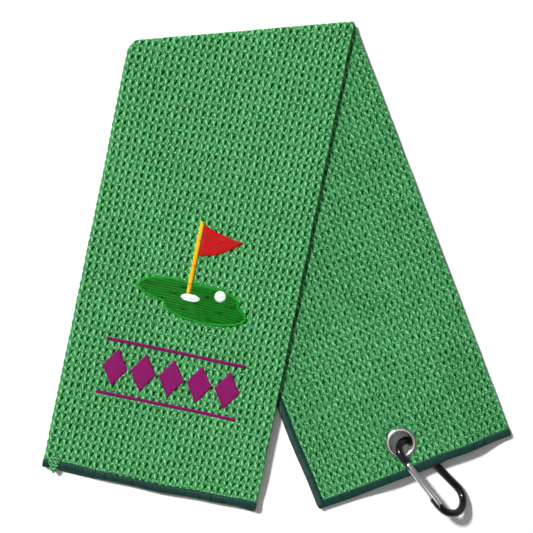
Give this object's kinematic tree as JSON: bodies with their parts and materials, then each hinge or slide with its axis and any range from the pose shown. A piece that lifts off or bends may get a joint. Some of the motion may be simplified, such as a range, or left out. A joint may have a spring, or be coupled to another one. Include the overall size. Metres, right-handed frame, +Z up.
{
  "type": "golf towel",
  "caption": "Waffle towel folded lengthwise in thirds and over at the middle, with overlocked hems, a grommet and a snap hook for clipping to a bag.",
  "frame": {"origin": "under the middle of the whole folded towel and its hook, on the surface it lies on", "axes": "+Z up out of the surface, +Y towards the crosswise fold (the longest extent), +X to the right seen from above"},
  "size_m": [0.3048, 0.3192, 0.0187],
  "materials": {
    "cloth_green": "waffle-woven microfibre pile, matt",
    "hem_green": "overlocked thread, matt with a slight sheen",
    "grommet_nickel": "bright nickel plate",
    "hook_black": "glossy black anodised aluminium",
    "gate_silver": "satin natural aluminium",
    "rivet_steel": "plain steel",
    "thread_green": "satin-stitch embroidery thread",
    "thread_red": "satin-stitch embroidery thread",
    "thread_yellow": "satin-stitch embroidery thread",
    "thread_white": "satin-stitch embroidery thread",
    "thread_purple": "satin-stitch embroidery thread"
  },
  "bodies": {
    "towel_back": {"towel_back_half": "cloth_green", "back_end_hem": "hem_green", "back_outer_flap_hem": "hem_green", "back_inner_flap_hem": "hem_green", "grommet_eyelet": "grommet_nickel", "grommet_washer": "grommet_nickel", "fold_bend_inner": "cloth_green", "fold_bend_middle": "cloth_green", "fold_bend_outer": "cloth_green"},
    "towel_front": {"towel_front_half": "cloth_green", "front_end_hem": "hem_green", "front_outer_flap_hem": "hem_green", "front_inner_flap_hem": "hem_green", "embroidered_green": "thread_green", "embroidered_cup": "thread_white", "embroidered_ball": "thread_white", "embroidered_pole": "thread_yellow", "embroidered_flag": "thread_red", "lozenge_1": "thread_purple", "lozenge_2": "thread_purple", "lozenge_3": "thread_purple", "lozenge_4": "thread_purple", "lozenge_5": "thread_purple", "motif_bar_upper": "thread_purple", "motif_bar_lower": "thread_purple"},
    "carabiner": {"hook_body": "hook_black", "gate_rivet": "rivet_steel"},
    "gate": {"hook_gate": "gate_silver", "gate_latch_pin": "rivet_steel", "gate_spring": "rivet_steel", "gate_plunger": "rivet_steel"}
  },
  "joints": [
    {"name": "towel_fold", "type": "hinge", "parent": "towel_back", "child": "towel_front", "pos_m": [-0.02184, 0.14955, 0.00395], "axis": [-0.9963, -0.0854, 0], "range_deg": [0, 180], "deforming": ["fold_bend_inner", "fold_bend_middle", "fold_bend_outer"]},
    {"name": "carabiner_swing", "type": "hinge", "parent": "towel_back", "child": "carabiner", "pos_m": [0.08031, -0.1131, 0.00715], "axis": [0, 0, 1], "range_deg": [-50, 15]},
    {"name": "gate_open", "type": "hinge", "parent": "carabiner", "child": "gate", "pos_m": [0.08453, -0.12673, 0.01273], "axis": [0.4545, 0.4545, 0.766], "range_deg": [0, 18], "stiffness_Nm_per_rad": 0.01, "springref_deg": -17.19, "deforming": ["gate_spring"]}
  ]
}
